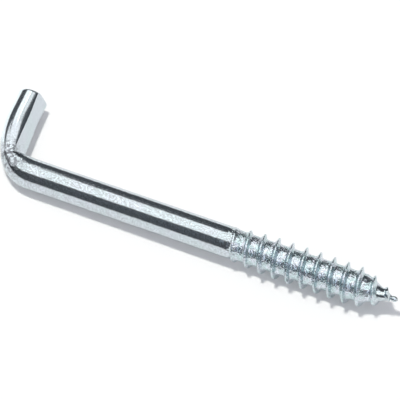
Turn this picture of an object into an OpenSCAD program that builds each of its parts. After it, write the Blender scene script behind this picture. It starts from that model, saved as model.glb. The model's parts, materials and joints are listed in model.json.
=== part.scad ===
// Square-bend screw hook: one round steel wire with a short square arm at
// one end and a rolled wood-screw thread with a gimlet tip at the other.
// Lying at rest: +X runs along the shank to the tip, +Y along the arm, +Z up.
// The origin is the middle of the outline, on the surface it lies on.

/* [Wire] */
// Diameter of the wire, in the smooth shank and in the arm
wire_d = 5.8; // [5:0.1:6.4]
// Distance from the arm's axis to the end of the tip
reach = 77.9; // [70:0.1:90]
// Distance from the shank's axis to the end face of the arm
arm_len = 15.5; // [13:0.1:20]
// Distance along the shank that the bend takes, from the arm's axis
bend_x = 6.2; // [6.1:0.1:8]
// Distance along the arm that the bend takes, from the shank's axis
bend_y = 11; // [8:0.1:11.5]
// Width that the arm's inner side gains on its way down to the inner corner
swell = 0.65; // [0:0.05:1]
// Height the wire loses where the sharp inner corner squeezes the bend
squeeze = 0.35; // [0:0.05:0.6]
// Radius that breaks the edge of the arm's end face
end_round = 0.5; // [0.2:0.05:0.9]

/* [Pressed flat on the arm's inner side] */
// Depth of the flat at the arm's end
flat_depth = 0.65; // [0.2:0.05:0.9]
// Lean of the flat's normal from straight up
flat_lean = 64; // [50:1:75]
// Slope that makes the flat shallower towards the bend
flat_rake = 2.8; // [0:0.1:5]
// Distance from the shank's axis at which the flat's end crosses the arm's axis
flat_stop = 1; // [0.5:0.1:2]
// Angle of the flat's end, seen from above, away from straight across the arm
flat_turn = 25; // [15:1:45]

/* [Thread] */
// Distance from the arm's axis to where the thread first rises
thread_from = 45.1; // [38:0.1:50]
// Distance from crest to crest
pitch = 2.7; // [2.2:0.05:3.2]
// Diameter over the crests
crest_d = 7.4; // [6.8:0.05:8]
// Diameter of the core between the crests
core_d = 5.4; // [4.6:0.05:5.6]
// Width of a ridge at its foot
ridge_w = 1.6; // [1:0.05:1.8]
// Width of a ridge at its crest
crest_w = 0.2; // [0.1:0.02:0.3]
// Turn of the thread about the shank, as where its start points
thread_turn = 315; // [0:15:345]

/* [Tip] */
// Length of the tapering crests, up to the nub
tip_len = 7.5; // [6:0.1:10]
// Half angle of the core's cone
cone_half = 23; // [20:1:36]
// Diameter of the blunt nub that ends the tip
nub_d = 1.05; // [0.7:0.05:1.3]
// Length of the nub
nub_len = 1.3; // [1.1:0.05:2]

/* [Hidden] */
wire_r = wire_d / 2;
core_r = core_d / 2;
crest_r = crest_d / 2;
nub_r = nub_d / 2;
nub_from = reach - nub_len;
taper_from = reach - tip_len;
run_in = 3.3 * pitch;
steps = 24;
bury = 1.25 * pitch;
fade = 0.65;
thread_to = nub_from + 0.1;
taper_len = thread_to - taper_from;
turns = (thread_to + 1.1 * pitch - thread_from + bury) / pitch;
rows = ceil(turns * steps);
// the crests that point straight down, and the slope that sets the hook on the first it meets
down_x = [for (x = [helix_x(270) : pitch : taper_from]) if (x > thread_from) x];
rest_tilt = max([for (x = down_x) asin((crest_at(x) - wire_r) / x)]);
mid_x = (reach * cos(rest_tilt) - wire_r) / 2;
mid_y = (arm_len - crest_r) / 2;
$fn = 96;

// Distance along the shank of the crest line at a turn of t degrees
function helix_x(t) = thread_from + pitch * (t - thread_turn) / 360;

// Core radius: straight, then the cone that runs down to the nub
function core_at(x) = min(core_r, 0.93 * nub_r + max(0, nub_from - x) * tan(cone_half));

// Crest radius: rises over the run-in, stays full, falls off along the tip
function crest_at(x) =
    x < thread_from ? core_r :
    x < thread_from + run_in ? core_r + (crest_r - core_r) * sqrt((x - thread_from) / run_in) :
    x < taper_from ? crest_r :
    max(core_at(x), nub_r + (crest_r - nub_r) * pow(max(0, thread_to - x) / taper_len, fade));

// Ridge section: offset from the crest line and height as a share of the full rise
ridge = [for (s = [-1, 1]) for (q = s < 0 ? [0, 1, 2] : [2, 1, 0])
    [s * [ridge_w / 2, 0.26 * ridge_w + 0.1 * crest_w, crest_w / 2][q], [0, 0.34, 1][q]]];

// Past thread_to the skin is inside the nub, and its last turn is drawn together
function drawn_in(x) = x < thread_to ? x : thread_to + 0.18 * (x - thread_to);

// One point of the helical surface, on thread column k at row i
function thread_point(i, k) =
    let (t = thread_turn + 360 * i / steps,
         xc = helix_x(t) - bury,
         x = drawn_in(xc + ridge[k][0]),
         low = core_at(x),
         r = low + (max(low, crest_at(xc)) - low) * ridge[k][1])
    [x, r * cos(t - 360 * bury / pitch), r * sin(t - 360 * bury / pitch)];

// The bend's centreline is a quarter of an ellipse, at angle a, and this is the way out from it
function bend_mid(a) = [bend_x * (1 - cos(a)), bend_y * (1 - sin(a))];
function bend_out(a) = let (n = [-bend_y * cos(a), -bend_x * sin(a)]) n / norm(n);

// Distance from the centreline to the bend's inner side, which is a square corner: k = 0 is the
// side along the arm, which leans in by the swell, and k = 1 the side along the shank
function to_side(a, k) =
    let (p = bend_mid(a), n = bend_out(a),
         lean = k == 0 ? swell / (bend_y - wire_r) : 0,
         gap = p[k] - wire_r - lean * (bend_y - p[1]))
    n[k] > -0.01 ? 0 : gap / (n[k] + lean * n[1]);
function inner_w(a) = max(to_side(a, 0), to_side(a, 1));

// Angle at which the bend's section meets the square corner itself, found by halving
function corner_a(low = 0, high = 90, tries = 20) =
    let (a = (low + high) / 2)
    tries == 0 ? a :
    to_side(a, 0) > to_side(a, 1) ? corner_a(a, high, tries - 1) : corner_a(low, a, tries - 1);
mitre_a = corner_a();

// One point of the bend's skin at bend angle a and section angle s
function bend_point(a, s, shrink = 0) =
    let (w = inner_w(a),
         half_w = (wire_r + w) / 2 - shrink,
         half_h = wire_r - shrink - squeeze * (wire_r - w) / (wire_r - inner_w(mitre_a)),
         p = bend_mid(a) + bend_out(a) * ((wire_r - w) / 2 + half_w * cos(s)))
    [p[0], p[1], half_h * sin(s)];

module shank() {
    smooth_to = thread_from + 0.3 * pitch;
    sunk_to = thread_from + 0.9 * pitch;
    rotate([90, 0, 90]) rotate_extrude()
        polygon([[0, bend_x], [wire_r, bend_x], [wire_r, smooth_to],
                 [core_r - 0.15, sunk_to], [0, sunk_to]]);
}

module arm() {
    rotate([-90, 0, 0]) rotate_extrude()
        polygon(concat([[0, bend_y], [wire_r, bend_y]],
            [for (a = [0 : 22.5 : 90])
                [wire_r - end_round * (1 - cos(a)), arm_len - end_round * (1 - sin(a))]],
            [[0, arm_len]]));
}

// The bend: round at both ends, squeezed against a square corner inside
module bend() {
    cuts = 7;
    around = 32;
    inset = 0.01;
    lap = 0.8;
    // the first and last rings lie inside the arm and the shank
    angles = concat([for (i = [0 : cuts]) mitre_a * i / cuts],
        [for (i = [1 : cuts]) mitre_a + (90 - mitre_a) * i / cuts]);
    rings = concat(
        [[for (j = [0 : around - 1]) bend_point(0, 360 * j / around, inset) + [0, lap, 0]]],
        [for (a = angles) [for (j = [0 : around - 1]) bend_point(a, 360 * j / around, inset)]],
        [[for (j = [0 : around - 1]) bend_point(90, 360 * j / around, inset) + [lap, 0, 0]]]);
    n = len(rings);
    polyhedron(
        points = [for (r = rings) for (p = r) p],
        faces = concat(
            [[for (j = [around - 1 : -1 : 0]) j]],
            [for (i = [0 : n - 2]) for (j = [0 : around - 1]) for (h = [0, 1])
                let (a = i * around + j, b = i * around + (j + 1) % around)
                h == 0 ? [a, b, b + around] : [a, b + around, a + around]],
            [[for (j = [0 : around - 1]) (n - 1) * around + j]]));
}

// Ridges and core together, as one helical skin closed at both ends
module thread() {
    cols = len(ridge);
    count = (rows + 1) * cols;
    last = rows - steps;
    polyhedron(
        points = concat([for (i = [0 : rows]) for (k = [0 : cols - 1]) thread_point(i, k)],
            [[thread_from - bury, 0, 0], [thread_to + 0.4, 0, 0]]),
        faces = concat(
            [for (i = [0 : rows - 1]) for (k = [0 : cols - 2]) for (h = [0, 1])
                let (a = i * cols + k, b = a + cols)
                h == 0 ? [a, b + 1, b] : [a, a + 1, b + 1]],
            [for (i = [0 : last - 1]) for (h = [0, 1])
                let (a = i * cols + cols - 1, b = a + cols, c = (i + steps) * cols, d = c + cols)
                h == 0 ? [a, d, b] : [a, c, d]],
            [for (i = [0 : steps - 1]) [count, i * cols, (i + 1) * cols]],
            [for (k = [0 : cols - 2]) [count, k + 1, k]],
            [[count, steps * cols, cols - 1]],
            [for (i = [last : rows - 1]) [count + 1, (i + 1) * cols + cols - 1, i * cols + cols - 1]],
            [for (k = [0 : cols - 2]) [count + 1, rows * cols + k, rows * cols + k + 1]],
            [[count + 1, last * cols + cols - 1, rows * cols]]));
}

// Blunt end left where the blank is pinched off
module nub() {
    neck_r = 0.8 * nub_r;
    neck_from = nub_from - 1.2;
    rotate([90, 0, 90]) rotate_extrude()
        polygon(concat([[0, neck_from], [neck_r, neck_from], [neck_r, nub_from]],
            [for (a = [-45 : 22.5 : 0]) [nub_r * cos(a), nub_from + 0.6 * nub_r * (1 + sin(a))]],
            [for (a = [0 : 22.5 : 90]) [nub_r * cos(a), reach - nub_r * (1 - sin(a))]]));
}

// What the press takes from the arm: a leaning plane, ending just past the inner corner
module flat_cut() {
    far = 10;
    past_end = arm_len + 5;
    intersection() {
        translate([0, arm_len, 0]) rotate([0, flat_lean, 0]) rotate([-flat_rake, 0, 0])
            translate([-2 * far, -4 * far, wire_r - flat_depth]) cube([4 * far, 6 * far, far]);
        translate([0, 0, -far]) linear_extrude(2 * far)
            polygon([[0, flat_stop], [far, flat_stop + far * tan(flat_turn)],
                     [far, past_end], [0, past_end]]);
    }
}

module hook() {
    color([0.62, 0.67, 0.71])
        translate([-mid_x, -mid_y, wire_r]) rotate([0, -rest_tilt, 0]) {
            difference() {
                union() {
                    bend();
                    arm();
                }
                flat_cut();
            }
            shank();
            thread();
            nub();
        }
}

hook();
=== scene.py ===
import json
from math import asin, atan2, cos, hypot, pi, radians, sin, sqrt, tan

import bmesh
import bpy
from mathutils import Matrix, Vector


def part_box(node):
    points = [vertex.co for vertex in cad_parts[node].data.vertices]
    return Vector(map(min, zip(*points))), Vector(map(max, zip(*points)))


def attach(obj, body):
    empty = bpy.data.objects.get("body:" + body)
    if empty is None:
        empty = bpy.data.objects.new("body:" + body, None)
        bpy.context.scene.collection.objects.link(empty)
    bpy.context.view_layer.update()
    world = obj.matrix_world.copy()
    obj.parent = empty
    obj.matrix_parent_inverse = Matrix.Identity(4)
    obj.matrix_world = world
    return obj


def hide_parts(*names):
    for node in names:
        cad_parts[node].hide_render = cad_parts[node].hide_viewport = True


# A square-bend screw hook, lying on a pale table.
# The mesh is shaped in millimetres in the hook's own frame (X along the shank from the arm's axis
# to the tip, Y along the arm), and then laid down the way the frame has it.

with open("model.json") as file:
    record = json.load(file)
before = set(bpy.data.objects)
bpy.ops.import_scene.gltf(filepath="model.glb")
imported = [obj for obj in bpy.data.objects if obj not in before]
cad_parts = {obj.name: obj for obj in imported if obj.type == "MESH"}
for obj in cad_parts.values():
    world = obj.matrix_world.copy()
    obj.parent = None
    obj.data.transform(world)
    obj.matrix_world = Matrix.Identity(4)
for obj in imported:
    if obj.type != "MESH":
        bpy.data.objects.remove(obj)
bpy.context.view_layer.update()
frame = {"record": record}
low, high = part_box("hook")
mounts = {m["name"]: m for m in frame["record"]["mounts"]}
armAt = Vector(mounts["arm"]["pos_m"])
threadAt = Vector(mounts["thread"]["pos_m"])
threadAxis = Vector(mounts["thread"]["axis"])
tilt = asin(threadAxis.z)
mm = 0.001
corner = Vector((armAt.x, threadAt.y, armAt.z))  # where the arm's axis meets the shank's
lay = Matrix.Translation(corner) @ Matrix.Rotation(-tilt, 4, "Y") @ Matrix.Scale(mm, 4)
print("frame loaded: tilt", round(tilt * 180 / pi, 3), "deg")

wire = {
    "radius": mounts["arm"]["dims"]["r_mm"],
    "armLen": (high.y - threadAt.y) / mm,
    "reach": (high.x - armAt.x) / cos(tilt) / mm,
    "bendX": 6.2,         # how far the bend reaches along the shank
    "bendY": 11.0,        # and along the arm
    "swell": 0.65,        # width that the arm's inner side gains down to the corner
    "squeeze": 0.35,      # height lost where the sharp inner corner squeezes the bend
    "endRound": 0.5,
    "around": 96,         # faces round the wire
    "bendSteps": 30,
    "armSteps": 8,
    "shankSteps": 24,
    "endSegments": 5,     # faces across the rounded edge at the arm's end
    "mitreTries": 900,    # steps of the search for the angle that meets the square corner
    "sharpFrom": 28.0,    # degrees between faces, from where an edge stays sharp
}
tolerance = {             # mm, apart from the first
    "facing": 0.01,       # how squarely a side is faced before it counts
    "merge": 2e-4,        # points nearer than this become one
    "mergeTurns": 1e-3,   # the same, between the thread's turns
    "cut": 1e-5,          # how near to a cutting plane counts as on it, and how short an edge is dropped
    "beside": 1e-4,       # how far past the flat's end a point still counts as pressed
    "rim": 0.01,          # how far short of the nub a point still counts as on its rim
}
flat = {
    "depth": 0.65,
    "lean": 64.0,         # degrees, from straight up towards the tip
    "rake": 2.8,          # degrees, shallower towards the bend
    "stop": 1.0,          # where its end crosses the arm's axis
    "turn": 25.0,         # angle of its end, away from straight across the arm
    "wall": 0.12,         # width of the step at its end
    "onlyPast": -0.5,     # nothing further from the tip than this is pressed
}
thread = {
    "start": (threadAt - corner).length / mm,
    "pitch": 2.7,
    "crestR": 3.7,
    "coreR": 2.7,
    "turn": 315.0,        # degrees round the shank, as where its start points
    "runIn": 3.3,         # pitches until the crests are full
    "sink": 0.8,          # pitches until the core is down to its radius
    "gap": 0.02,          # mm between the smooth shank and the thread's first rise
    "turnsBefore": 2,     # turns laid before the thread, and drawn together at its first ring
    "turnsSpare": 3.2,    # turns laid beyond its length, one too few: 3.7 would close the slot in the nub
    # one side of the ridge, from its foot to its crest: mm aside, and share of the height
    "ridge": [(0.95, 0.003), (0.82, 0.012), (0.70, 0.035), (0.60, 0.08), (0.51, 0.16), (0.43, 0.28),
              (0.36, 0.43), (0.28, 0.62), (0.195, 0.82), (0.14, 0.96), (0.10, 1.0)],
}
tip = {
    "length": 7.5,        # mm, of the tapering crests with the nub
    "coneHalf": 23.0,     # degrees
    "coneEnd": 0.93,      # the cone's radius at the nub, as a share of the nub's
    "nubR": 0.525,
    "nubLen": 1.3,
    "fade": 0.65,         # the power that bends the crests' taper
    "into": 0.1,          # mm that the crests run on into the nub
    "neck": [(0.12, 0.80), (0.28, 0.96), (0.40, 1.0)],    # mm along the nub, share of its radius
    "dome": (0, 0.35, 0.7, 1.05, 1.35),                   # angles of its round end
}
nubFrom = wire["reach"] - tip["nubLen"]
taperFrom = wire["reach"] - tip["length"]
crestsTo = nubFrom + tip["into"]


def bendMid(a):  # the bend's centreline is a quarter of an ellipse
    return Vector((wire["bendX"] * (1 - cos(a)), wire["bendY"] * (1 - sin(a)), 0))


def bendOut(a):
    return Vector((-wire["bendY"] * cos(a), -wire["bendX"] * sin(a), 0)).normalized()


def innerSide(a):  # from the centreline to the bend's inner side, which is a square corner
    mid, out = bendMid(a), bendOut(a)
    lean = wire["swell"] / (wire["bendY"] - wire["radius"])
    toArm = mid.x - wire["radius"] - lean * (wire["bendY"] - mid.y)
    sides = [(toArm, out.x, out.x + lean * out.y), (mid.y - wire["radius"], out.y, out.y)]
    return max(gap / slope for gap, facing, slope in sides if facing < -tolerance["facing"])


mitre = min((pi / 2 * i / wire["mitreTries"] for i in range(wire["mitreTries"] + 1)), key=innerSide)


def squareBend(co):  # moves a point of a round bend onto the bend with a square inner corner
    r, roundR = wire["radius"], wire["bendY"]
    turn = atan2(roundR - co.y, roundR - co.x) / (pi / 4)
    if turn <= 0:
        return co
    a = turn * mitre if turn < 1 else mitre + (turn - 1) * (pi / 2 - mitre)
    inner = innerSide(a)
    out = (hypot(roundR - co.x, roundR - co.y) - roundR) / r
    across = (r - inner) / 2 + (r + inner) / 2 * out
    share = 1 - wire["squeeze"] * max(0, r - inner) / (r - innerSide(mitre)) / r
    return bendMid(a) + bendOut(a) * across + Vector((0, 0, co.z * share))


def extended(bm, loop):  # a new ring of faces along a loop of edges
    new = bmesh.ops.extrude_edge_only(bm, edges=loop)["geom"]
    verts = [g for g in new if isinstance(g, bmesh.types.BMVert)]
    edges = [g for g in new if isinstance(g, bmesh.types.BMEdge) and all(v in verts for v in g.verts)]
    return verts, edges


def bareWire():  # arm, bend and smooth shank as one tube, closed at the arm's end
    bm = bmesh.new()
    r, roundR = wire["radius"], wire["bendY"]
    turned = Matrix.Translation((0, wire["armLen"], 0)) @ Matrix.Rotation(pi / 2, 4, "X")
    ring = bmesh.ops.create_circle(bm, cap_ends=True, radius=r, segments=wire["around"],
                                   matrix=turned)["verts"]
    rim = [e for e in bm.edges if all(v in ring for v in e.verts)]
    edges = rim

    def pull(loop, step):
        newVerts, newEdges = extended(bm, loop)
        bmesh.ops.translate(bm, vec=step, verts=newVerts)
        return newEdges

    for i in range(wire["armSteps"]):
        edges = pull(edges, (0, (roundR - wire["armLen"]) / wire["armSteps"], 0))
    spun = bmesh.ops.spin(bm, geom=edges, cent=(roundR, roundR, 0), axis=(0, 0, 1), angle=pi / 2,
                          steps=wire["bendSteps"], use_merge=False, use_duplicate=False)["geom_last"]
    edges = [g for g in spun if isinstance(g, bmesh.types.BMEdge)]
    for v in bm.verts:
        v.co = squareBend(v.co)
    shankTo = thread["start"] - thread["gap"]
    for i in range(wire["shankSteps"]):
        edges = pull(edges, ((shankTo - wire["bendX"]) / wire["shankSteps"], 0, 0))
    bmesh.ops.bevel(bm, geom=rim, offset=wire["endRound"], segments=wire["endSegments"], profile=0.5,
                    affect="EDGES", material=-1)
    return bm, shankTo


def pastFlat():  # the way past the flat's end, square to it
    turn = radians(flat["turn"])
    return Vector((sin(turn), -cos(turn), 0))


def pressFlat(bm):  # a leaning plane presses the arm, from its end to just past the inner corner
    lean, rake = radians(flat["lean"]), radians(flat["rake"])
    normal = Matrix.Rotation(lean, 3, "Y") @ Matrix.Rotation(-rake, 3, "X") @ Vector((0, 0, 1))
    face = Vector((0, wire["armLen"], 0)) + normal * (wire["radius"] - flat["depth"])
    stop = Vector((0, flat["stop"], 0))
    past = pastFlat()

    def pressed(co):
        return (co - stop).dot(past) < tolerance["beside"] and co.x > flat["onlyPast"]

    for away in (flat["wall"], 0):
        bmesh.ops.bisect_plane(bm, geom=bm.verts[:] + bm.edges[:] + bm.faces[:], dist=tolerance["cut"],
                               plane_co=stop + past * away, plane_no=past)
    part = [f for f in bm.faces if pressed(f.calc_center_median())]
    near = set(part) | {e for f in part for e in f.edges} | {v for f in part for v in f.verts}
    bmesh.ops.bisect_plane(bm, geom=list(near), dist=tolerance["cut"], plane_co=face, plane_no=normal)
    for v in bm.verts:
        over = (v.co - face).dot(normal)
        if over > 0 and pressed(v.co):
            v.co -= normal * over


def helixAt(turn):  # distance along the shank of the crest line, at an angle round it in radians
    return thread["start"] + thread["pitch"] * (turn - radians(thread["turn"])) / (2 * pi)


def coreAt(x):
    cone = tip["coneEnd"] * tip["nubR"] + max(0, nubFrom - x) * tan(radians(tip["coneHalf"]))
    sink = min(1, max(0, (x - thread["start"]) / (thread["sink"] * thread["pitch"])))
    return min(wire["radius"] + (thread["coreR"] - wire["radius"]) * sink, cone)


def crestAt(x):
    rise = thread["crestR"] - thread["coreR"]
    into = (x - thread["start"]) / (thread["runIn"] * thread["pitch"])
    if into < 0:
        return thread["coreR"]
    if x < taperFrom:
        return thread["coreR"] + rise * sqrt(min(1, into))
    left = max(0, crestsTo - x) / (crestsTo - taperFrom)
    return max(coreAt(x), tip["nubR"] + (thread["crestR"] - tip["nubR"]) * left ** tip["fade"])


def rollThread(startX):  # the ridge's section, spun along a helix, and then given its run-in and taper
    bm = bmesh.new()
    n, pitch = wire["around"], thread["pitch"]
    rising = [(-x, h) for x, h in thread["ridge"]]
    ridge = rising + [(0, 1)] + [(-x, h) for x, h in reversed(rising)]
    section = [(-pitch / 2, 0)] + ridge + [(pitch / 2, 0)]
    turns = int((nubFrom - startX) / pitch + thread["turnsSpare"])
    phase = radians(thread["turn"])
    begin = helixAt(phase) - pitch * (int((helixAt(phase) - startX) / pitch) + thread["turnsBefore"])
    verts = []
    for x, h in section:
        r = thread["coreR"] + h * (thread["crestR"] - thread["coreR"])
        verts.append(bm.verts.new((begin + x, r * cos(phase), r * sin(phase))))
    edges = [bm.edges.new(pair) for pair in zip(verts, verts[1:])]
    bmesh.ops.spin(bm, geom=verts + edges, cent=(0, 0, 0), axis=(1, 0, 0), dvec=(pitch / n, 0, 0),
                   angle=2 * pi, steps=n, use_merge=False, use_duplicate=False)
    oneTurn = bm.verts[:] + bm.edges[:] + bm.faces[:]
    for i in range(1, turns):
        copy = bmesh.ops.duplicate(bm, geom=oneTurn)["geom"]
        copied = [g for g in copy if isinstance(g, bmesh.types.BMVert)]
        bmesh.ops.translate(bm, vec=(i * pitch, 0, 0), verts=copied)
    bmesh.ops.remove_doubles(bm, verts=bm.verts[:], dist=tolerance["mergeTurns"])
    for v in bm.verts:
        x, r, angle = v.co.x, hypot(v.co.y, v.co.z), atan2(v.co.z, v.co.y)
        h = (r - thread["coreR"]) / (thread["crestR"] - thread["coreR"])
        crestX = helixAt(angle) + pitch * round((x - helixAt(angle)) / pitch)
        x = min(max(x, startX), nubFrom)
        r = coreAt(x)
        r += (max(r, crestAt(crestX)) - r) * h if startX < x < nubFrom else 0
        v.co = (x, r * cos(angle), r * sin(angle))
    bmesh.ops.remove_doubles(bm, verts=bm.verts[:], dist=tolerance["merge"])
    bmesh.ops.dissolve_degenerate(bm, dist=tolerance["cut"], edges=bm.edges[:])
    pinchNub(bm)
    part = bpy.data.meshes.new("thread")
    bm.to_mesh(part)
    bm.free()
    return part


def pinchNub(bm):  # the blunt end that is left where the blank was pinched off
    rimX = nubFrom - tolerance["rim"]
    edges = [e for e in bm.edges if e.is_boundary and all(v.co.x > rimX for v in e.verts)]
    r = tip["nubR"]
    dome = [(tip["nubLen"] - r * (1 - sin(a)), cos(a)) for a in tip["dome"]]
    for x, share in tip["neck"] + dome:
        verts, edges = extended(bm, edges)
        for v in verts:
            across = Vector((0, v.co.y, v.co.z)).normalized() * r * share
            v.co = (nubFrom + x, across.y, across.z)
    bmesh.ops.edgeloop_fill(bm, edges=edges)


def makeHook():
    bm, shankTo = bareWire()
    pressFlat(bm)
    bm.from_mesh(rollThread(shankTo))
    bmesh.ops.remove_doubles(bm, verts=bm.verts[:], dist=tolerance["merge"])
    bmesh.ops.recalc_face_normals(bm, faces=bm.faces[:])
    for f in bm.faces:
        f.smooth = True
    mesh = bpy.data.meshes.new("hookWire")
    bm.transform(lay)
    bm.to_mesh(mesh)
    openEdges = sum(1 for e in bm.edges if not e.is_manifold)
    bm.free()
    mesh.set_sharp_from_angle(angle=radians(wire["sharpFrom"]))
    obj = bpy.data.objects.new("hookWire", mesh)
    bpy.context.scene.collection.objects.link(obj)
    print("hook:", len(mesh.vertices), "vertices,", openEdges, "open edges")
    return obj


def maths(tree, operation, *values):
    node = tree.nodes.new("ShaderNodeMath")
    node.operation = operation
    for socket, value in zip(node.inputs, values):
        if isinstance(value, bpy.types.NodeSocket):
            tree.links.new(value, socket)
        else:
            socket.default_value = value
    return node.outputs[0]


def ramp(tree, value, start, end, first, last):
    node = tree.nodes.new("ShaderNodeMapRange")
    node.interpolation_type = "SMOOTHSTEP"
    tree.links.new(value, node.inputs["Value"])
    for name, number in (("From Min", start), ("From Max", end), ("To Min", first), ("To Max", last)):
        node.inputs[name].default_value = number
    return node.outputs["Result"]


def blend(tree, share, first, second):
    node = tree.nodes.new("ShaderNodeMix")
    node.data_type = "RGBA"
    tree.links.new(share, node.inputs[0])
    for socket, colour in ((node.inputs[6], first), (node.inputs[7], second)):  # its pair of colours
        if isinstance(colour, bpy.types.NodeSocket):
            tree.links.new(colour, socket)
        else:
            socket.default_value = colour
    return node.outputs[2]


def noise(tree, place, scale, detail):
    node = tree.nodes.new("ShaderNodeTexNoise")
    node.inputs["Scale"].default_value = scale
    node.inputs["Detail"].default_value = detail
    tree.links.new(place, node.inputs["Vector"])
    return node.outputs["Fac"]


def patches(tree, place, scale, detail, start, end, most):  # soft-edged blotches, from 0 up to most
    return ramp(tree, noise(tree, place, scale, detail), start, end, 0, most)


def around(tree, place, centre, reach):  # 1 near a point of the hook, fading to 0
    node = tree.nodes.new("ShaderNodeVectorMath")
    node.operation = "DISTANCE"
    node.inputs[1].default_value = lay @ Vector(centre)
    tree.links.new(place, node.inputs[0])
    return ramp(tree, node.outputs["Value"], reach[0] * mm, reach[1] * mm, 1, 0)


def axes(tree, place):
    node = tree.nodes.new("ShaderNodeSeparateXYZ")
    tree.links.new(place, node.inputs[0])
    return node.outputs["X"], node.outputs["Y"], node.outputs["Z"]


zinc = {
    "colour": (0.62, 0.67, 0.71, 1),
    "greenish": (0.605, 0.675, 0.70, 1),
    "rolledTints": ((0.68, 0.73, 0.785, 1), (0.57, 0.69, 0.71, 1)),    # mixed on the rolled thread
    "blotchAndCreaseShade": (0.20, 0.21, 0.23, 1),  # dark blotches round the bend, and the painted shade along the flat's crease
    "roughness": (0.15, 0.26),        # on the drawn wire, and on the rolled thread

    # bumps: scale in 1/m, height in m, and detail
    "grain": (2400, 1.4e-5, 1),       # the plating's fine grain
    "rolled": (2000, 1.5e-4, 2),      # marks of the thread dies
    "scuffed": (1400, 1.4e-4, 2),     # where those dies first bit
    "crumple": (1300, 1.3e-4, 2),     # marks of the bend's die

    # blotches: scale, detail, the noise at which they start and are full, and their strength
    "greenPatches": (260, 1, 0.4, 0.6, 1),
    "rolledPatches": (900, 2, 0.4, 0.6, 1),
    # dark blotches round the bend
    "bendBlotches": (1500, 3, 0.46, 0.56, 0.85),
    "speckle": (5200, 1, 0.3, 0.7),
    "speckleChange": (-0.32, 0.22),   # what it does to the colour, at its darkest and its brightest

    # where each is: mm, unless said otherwise
    "rolledStart": 0.7,               # pitches past the thread's start until the marks are full
    "rolledEnd": (2.5, 1.0),          # past the taper's start and short of the nub: fading, gone
    "scuffedAt": (-0.4, 0.4, 1.5, 4.5),    # past the thread's start: starts, full, fading, gone
    "crumpleAt": (1.2, 0.2, 2.6),     # from the corner
    "crumpleReach": (1.5, 5.0),       # from there: fading, gone
    "creaseShadeAt": (2.0, 2.0, 2.0),      # from the corner, where the flat ends: painted shade along its crease
    "creaseShadeReach": (1.7, 2.5),
    "creaseShadeWidth": (-0.06, 0.06, 0.32, 0.5),    # past the flat's end: starts, full, fading, gone
    "grainLeft": (0.80, 0.25),        # share of the grain that is left at the thread, and on the arm
    "grainFull": 8.0,                 # along the shank, up to where the grain is full
    "grainArm": (1.0, 7.0),           # along the arm, where it fades
}


def between(tree, value, marks):  # rises from 0 to 1 and falls back, at four marks in order
    starts, full, fading, gone = marks
    up = ramp(tree, value, starts, full, 0, 1)
    down = ramp(tree, value, fading, gone, 1, 0)
    return maths(tree, "MULTIPLY", up, down)


def brightZinc():
    mat = bpy.data.materials.new("brightZinc")
    mat.use_nodes = True
    tree = mat.node_tree
    links = tree.links
    shader = tree.nodes["Principled BSDF"]
    shader.inputs["Metallic"].default_value = 1.0
    place = tree.nodes.new("ShaderNodeTexCoord").outputs["Object"]
    along, side, _ = axes(tree, place)
    pastTaper, beforeNub = zinc["rolledEnd"]
    full = threadAt.x + zinc["rolledStart"] * thread["pitch"] * mm
    fading = corner.x + (taperFrom + pastTaper) * mm
    gone = corner.x + (nubFrom - beforeNub) * mm
    rolled = between(tree, along, (threadAt.x, full, fading, gone))
    scuffed = between(tree, along, [threadAt.x + x * mm for x in zinc["scuffedAt"]])
    bent = around(tree, place, zinc["crumpleAt"], zinc["crumpleReach"])
    # painted shade of the crease where the flat ends: a dark band across its end, near the corner
    past = tree.nodes.new("ShaderNodeVectorMath")
    past.operation = "DOT_PRODUCT"
    pastWay = lay.to_3x3() @ pastFlat() / mm
    past.inputs[1].default_value = pastWay
    links.new(place, past.inputs[0])
    stop = (lay @ Vector((0, flat["stop"], 0))).dot(pastWay)
    creaseShade = between(tree, past.outputs["Value"], [stop + x * mm for x in zinc["creaseShadeWidth"]])
    creaseShade = maths(tree, "MULTIPLY", creaseShade, around(tree, place, zinc["creaseShadeAt"], zinc["creaseShadeReach"]))
    atThread, onArm = zinc["grainLeft"]
    armStart, armEnd = [corner.y + y * mm for y in zinc["grainArm"]]
    worn = maths(tree, "MULTIPLY",
                 ramp(tree, along, corner.x + zinc["grainFull"] * mm, threadAt.x, 1, atThread),
                 ramp(tree, side, armStart, armEnd, 1, onArm))

    height = 0
    for name, mask in (("grain", worn), ("rolled", rolled), ("scuffed", scuffed), ("crumple", bent)):
        scale, depth, detail = zinc[name]
        part = maths(tree, "MULTIPLY", noise(tree, place, scale, detail), mask)
        height = maths(tree, "MULTIPLY_ADD", part, depth, height)
    bump = tree.nodes.new("ShaderNodeBump")
    bump.inputs["Distance"].default_value = 1.0
    links.new(height, bump.inputs["Height"])
    links.new(bump.outputs["Normal"], shader.inputs["Normal"])

    drawn, die = zinc["roughness"]
    links.new(ramp(tree, rolled, 0, 1, drawn, die), shader.inputs["Roughness"])
    green = patches(tree, place, *zinc["greenPatches"])
    plain = blend(tree, green, zinc["colour"], zinc["greenish"])
    mottled = blend(tree, patches(tree, place, *zinc["rolledPatches"]), *zinc["rolledTints"])
    clean = blend(tree, rolled, plain, mottled)
    # dark blotches round the bend, with the painted crease shade laid over them
    blotchesAndCreaseShade = maths(tree, "MULTIPLY", bent, patches(tree, place, *zinc["bendBlotches"]))
    blotchesAndCreaseShade = maths(tree, "MAXIMUM", blotchesAndCreaseShade, creaseShade)
    speck = tree.nodes.new("ShaderNodeVectorMath")
    speck.operation = "SCALE"
    links.new(blend(tree, blotchesAndCreaseShade, clean, zinc["blotchAndCreaseShade"]), speck.inputs[0])
    scale, detail, start, end = zinc["speckle"]
    change = ramp(tree, noise(tree, place, scale, detail), start, end, *zinc["speckleChange"])
    links.new(maths(tree, "MULTIPLY_ADD", change, worn, 1.0), speck.inputs["Scale"])
    links.new(speck.outputs[0], shader.inputs["Base Color"])
    print("zinc mixed:", len(tree.nodes), "nodes")
    return mat


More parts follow.
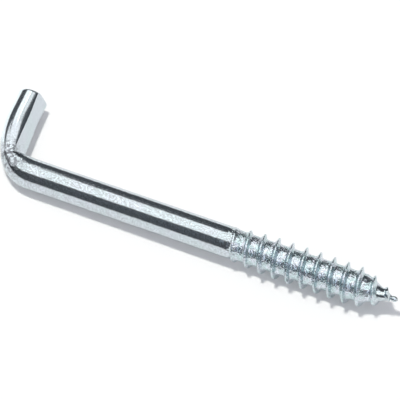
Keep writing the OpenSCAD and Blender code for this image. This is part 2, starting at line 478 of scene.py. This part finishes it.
table = {
    "size": 8.0,          # m
    "colour": (0.8, 0.8, 0.8, 1),
    "white": 0.14,        # what the camera and the metal see on top of the lit colour
    "metalGlow": 0.42,         # a painted glow on top that only the metal sees, beyond the arm
    "metalGlowSide": (-2.0, 1.0),    # mm along X from the hook's low end: full, gone
    "metalGlowBack": (-2.0, 3.0),    # mm along Y from the hook's middle: starts, full
}


def layTable():
    bm = bmesh.new()
    bmesh.ops.create_grid(bm, x_segments=4, y_segments=4, size=table["size"] / 2)
    mesh = bpy.data.meshes.new("table")
    bm.to_mesh(mesh)
    bm.free()
    obj = bpy.data.objects.new("table", mesh)
    mat = bpy.data.materials.new("paleTable")
    mat.use_nodes = True
    tree = mat.node_tree
    nodes, links = tree.nodes, tree.links
    nodes.clear()
    skin = nodes.new("ShaderNodeBsdfDiffuse")
    skin.inputs["Color"].default_value = table["colour"]
    path = nodes.new("ShaderNodeLightPath")
    glossy = path.outputs["Is Glossy Ray"]
    across, back, _ = axes(tree, nodes.new("ShaderNodeTexCoord").outputs["Object"])
    # a painted glow on the table beyond the arm, seen only in the metal
    sideFull, sideGone = [low.x + x * mm for x in table["metalGlowSide"]]
    backStart, backFull = [y * mm for y in table["metalGlowBack"]]
    glowBeyondArm = maths(tree, "MULTIPLY", ramp(tree, across, sideFull, sideGone, table["metalGlow"], 0),
                   ramp(tree, back, backStart, backFull, 0, 1))
    seen = maths(tree, "MAXIMUM", path.outputs["Is Camera Ray"], glossy)
    level = maths(tree, "MULTIPLY_ADD", glossy, glowBeyondArm, maths(tree, "MULTIPLY", seen, table["white"]))
    glow = nodes.new("ShaderNodeEmission")
    both = nodes.new("ShaderNodeAddShader")
    out = nodes.new("ShaderNodeOutputMaterial")
    links.new(level, glow.inputs["Strength"])
    links.new(skin.outputs["BSDF"], both.inputs[0])
    links.new(glow.outputs["Emission"], both.inputs[1])
    links.new(both.outputs[0], out.inputs["Surface"])
    mesh.materials.append(mat)
    bpy.context.scene.collection.objects.link(obj)
    print("table laid")


studio = {
    "fill": (0.45, 0.465, 0.515, 1),   # what reaches the shadow
    "room": (0.085, 0.09, 0.10, 1),    # what the metal mirrors where no card is
    "keyLevel": 0.76,
    "keyColour": (1.0, 0.985, 0.93),
    "keyHeight": 5.0,                  # m
    "keyAt": (-0.25, 0.055),           # sideways and back, as shares of the height
    "keySize": (0.15, 0.10),
    "backdrop": (1, 1, 1, 1),          # what the camera sees past the table
    # only the metal sees the cards: height in m, edges sideways and back as shares of it, level, colour
    "cards": {
        "panel": (4.0, (-1.5, 0.36), (-0.58, 0.562), 1.24, (1, 1, 1)),
        "wing": (4.0, (-1.15, -0.42), (0.58, 1.15), 1.5, (1, 1, 1)),
        "strip": (4.0, (-0.10, 0.22), (0.50, 0.63), 1.4, (1, 1, 1)),
        "left": (4.0, (-4.5, -1.5), (-1.2, 0.85), 1.24, (1, 1, 1)),
        "filler": (4.0, (-0.42, -0.10), (0.562, 0.61), 1.24, (1, 1, 1)),
        "side": (4.0, (0.36, 2.4), (-0.72, 0.30), 1.5, (1, 1, 1)),
        "front": (4.0, (-0.15, 0.6), (-2.8, -0.62), 1.0, (0.84, 0.95, 1.1)),
        "glint": (0.106, (-0.735, -0.561), (0.557, 0.783), 1.5, (1, 1, 1)),
    },
}


def hang(name, height, at, size, level):  # a lamp overhead, placed and sized in shares of its height
    lamp = bpy.data.lights.new(name, "AREA")
    lamp.shape = "RECTANGLE"
    lamp.size = size[0] * height
    lamp.size_y = size[1] * height
    lamp.energy = level * pi * lamp.size * lamp.size_y
    obj = bpy.data.objects.new(name, lamp)
    obj.location = (at[0] * height, at[1] * height, height)
    obj.visible_camera = False
    bpy.context.scene.collection.objects.link(obj)
    return obj


def lightStudio():
    kx, ky = studio["keySize"]
    keyLevel = studio["keyLevel"] * pi / (kx * ky)
    key = hang("key", studio["keyHeight"], studio["keyAt"], studio["keySize"], keyLevel)
    key.visible_glossy = False
    key.data.color = studio["keyColour"]
    for name, (height, (x0, x1), (y0, y1), level, colour) in studio["cards"].items():
        card = hang(name, height, ((x0 + x1) / 2, (y0 + y1) / 2), (x1 - x0, y1 - y0), level)
        card.data.color = colour
        card.visible_diffuse = False
    world = bpy.data.worlds.new("studio")
    bpy.context.scene.world = world
    world.use_nodes = True
    nodes, links = world.node_tree.nodes, world.node_tree.links
    nodes.clear()
    path = nodes.new("ShaderNodeLightPath")
    fill = nodes.new("ShaderNodeBackground")
    fill.inputs["Color"].default_value = studio["fill"]
    room = nodes.new("ShaderNodeBackground")
    room.inputs["Color"].default_value = studio["room"]
    white = nodes.new("ShaderNodeBackground")
    white.inputs["Color"].default_value = studio["backdrop"]
    pickRoom = nodes.new("ShaderNodeMixShader")
    pickWhite = nodes.new("ShaderNodeMixShader")
    out = nodes.new("ShaderNodeOutputWorld")
    links.new(path.outputs["Is Glossy Ray"], pickRoom.inputs["Fac"])
    links.new(fill.outputs[0], pickRoom.inputs[1])
    links.new(room.outputs[0], pickRoom.inputs[2])
    links.new(path.outputs["Is Camera Ray"], pickWhite.inputs["Fac"])
    links.new(pickRoom.outputs[0], pickWhite.inputs[1])
    links.new(white.outputs[0], pickWhite.inputs[2])
    links.new(pickWhite.outputs[0], out.inputs["Surface"])
    print("studio lit:", len(studio["cards"]), "cards")


camera = {                 # in the hook's own frame
    "azimuth": 22.158,     # degrees
    "elevation": 57.457,
    "distance": 1161.2,    # mm
    "target": (36.855, 6.363, 0.054),
    "lens": 574.55,
}


def aimCamera():
    az, el = radians(camera["azimuth"]), radians(camera["elevation"])
    toCamera = Vector((cos(el) * sin(az), -cos(el) * cos(az), sin(el)))
    local = toCamera.to_track_quat("Z", "Y").to_matrix().to_4x4()
    local.translation = Vector(camera["target"]) + toCamera * camera["distance"]
    placed = lay @ local
    data = bpy.data.cameras.new("camera")
    data.lens = camera["lens"]
    obj = bpy.data.objects.new("camera", data)
    obj.location = placed.translation
    obj.rotation_euler = placed.to_euler()
    bpy.context.scene.collection.objects.link(obj)
    bpy.context.scene.camera = obj
    print("camera aimed")


aimCamera()
hookWire = makeHook()
hookWire.data.materials.append(brightZinc())
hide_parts("hook")
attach(hookWire, "root")
layTable()
lightStudio()
bpy.context.scene.view_settings.view_transform = "Standard"
